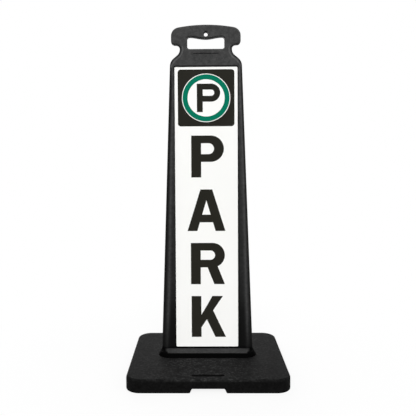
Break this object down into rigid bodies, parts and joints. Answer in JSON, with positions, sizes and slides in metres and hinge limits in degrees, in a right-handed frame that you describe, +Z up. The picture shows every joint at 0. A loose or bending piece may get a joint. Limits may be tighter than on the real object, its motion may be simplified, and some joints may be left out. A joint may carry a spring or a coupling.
{
  "type": "parking sign",
  "caption": "Tall tapering sign panel with raised side rails, label films on both faces and a carrying grip on top, standing in a heavy drop-over rubber base.",
  "frame": {"origin": "middle of the base's footprint, on the floor", "axes": "+Z up along the panel, +X to the right seen from the front, -Y out of the front label"},
  "size_m": [0.494, 0.41, 1.1169],
  "materials": {
    "moulded_panel": "fine-grained black moulded plastic",
    "base_rubber": "matt black pressed rubber crumb",
    "white_film": "satin white reflective film",
    "black_film": "satin black film",
    "green_film": "satin green film"
  },
  "bodies": {
    "panel": {"grip_head": "moulded_panel", "panel_shell": "moulded_panel", "front_sheet": "white_film", "front_symbol_ground": "black_film", "front_symbol_disc": "white_film", "front_symbol_ring": "green_film", "front_symbol_p": "black_film", "front_letter_p": "black_film", "front_letter_a": "black_film", "front_letter_r": "black_film", "front_letter_k": "black_film", "back_sheet": "white_film", "back_symbol_ground": "black_film", "back_symbol_disc": "white_film", "back_symbol_ring": "green_film", "back_symbol_p": "black_film", "back_letter_p": "black_film", "back_letter_a": "black_film", "back_letter_r": "black_film", "back_letter_k": "black_film"},
    "base": {"rubber_base": "base_rubber"}
  },
  "joints": [
    {"name": "base_lift", "type": "slide", "parent": "panel", "child": "base", "axis": [0, 0, 1], "range_m": [0, 1.13]}
  ]
}
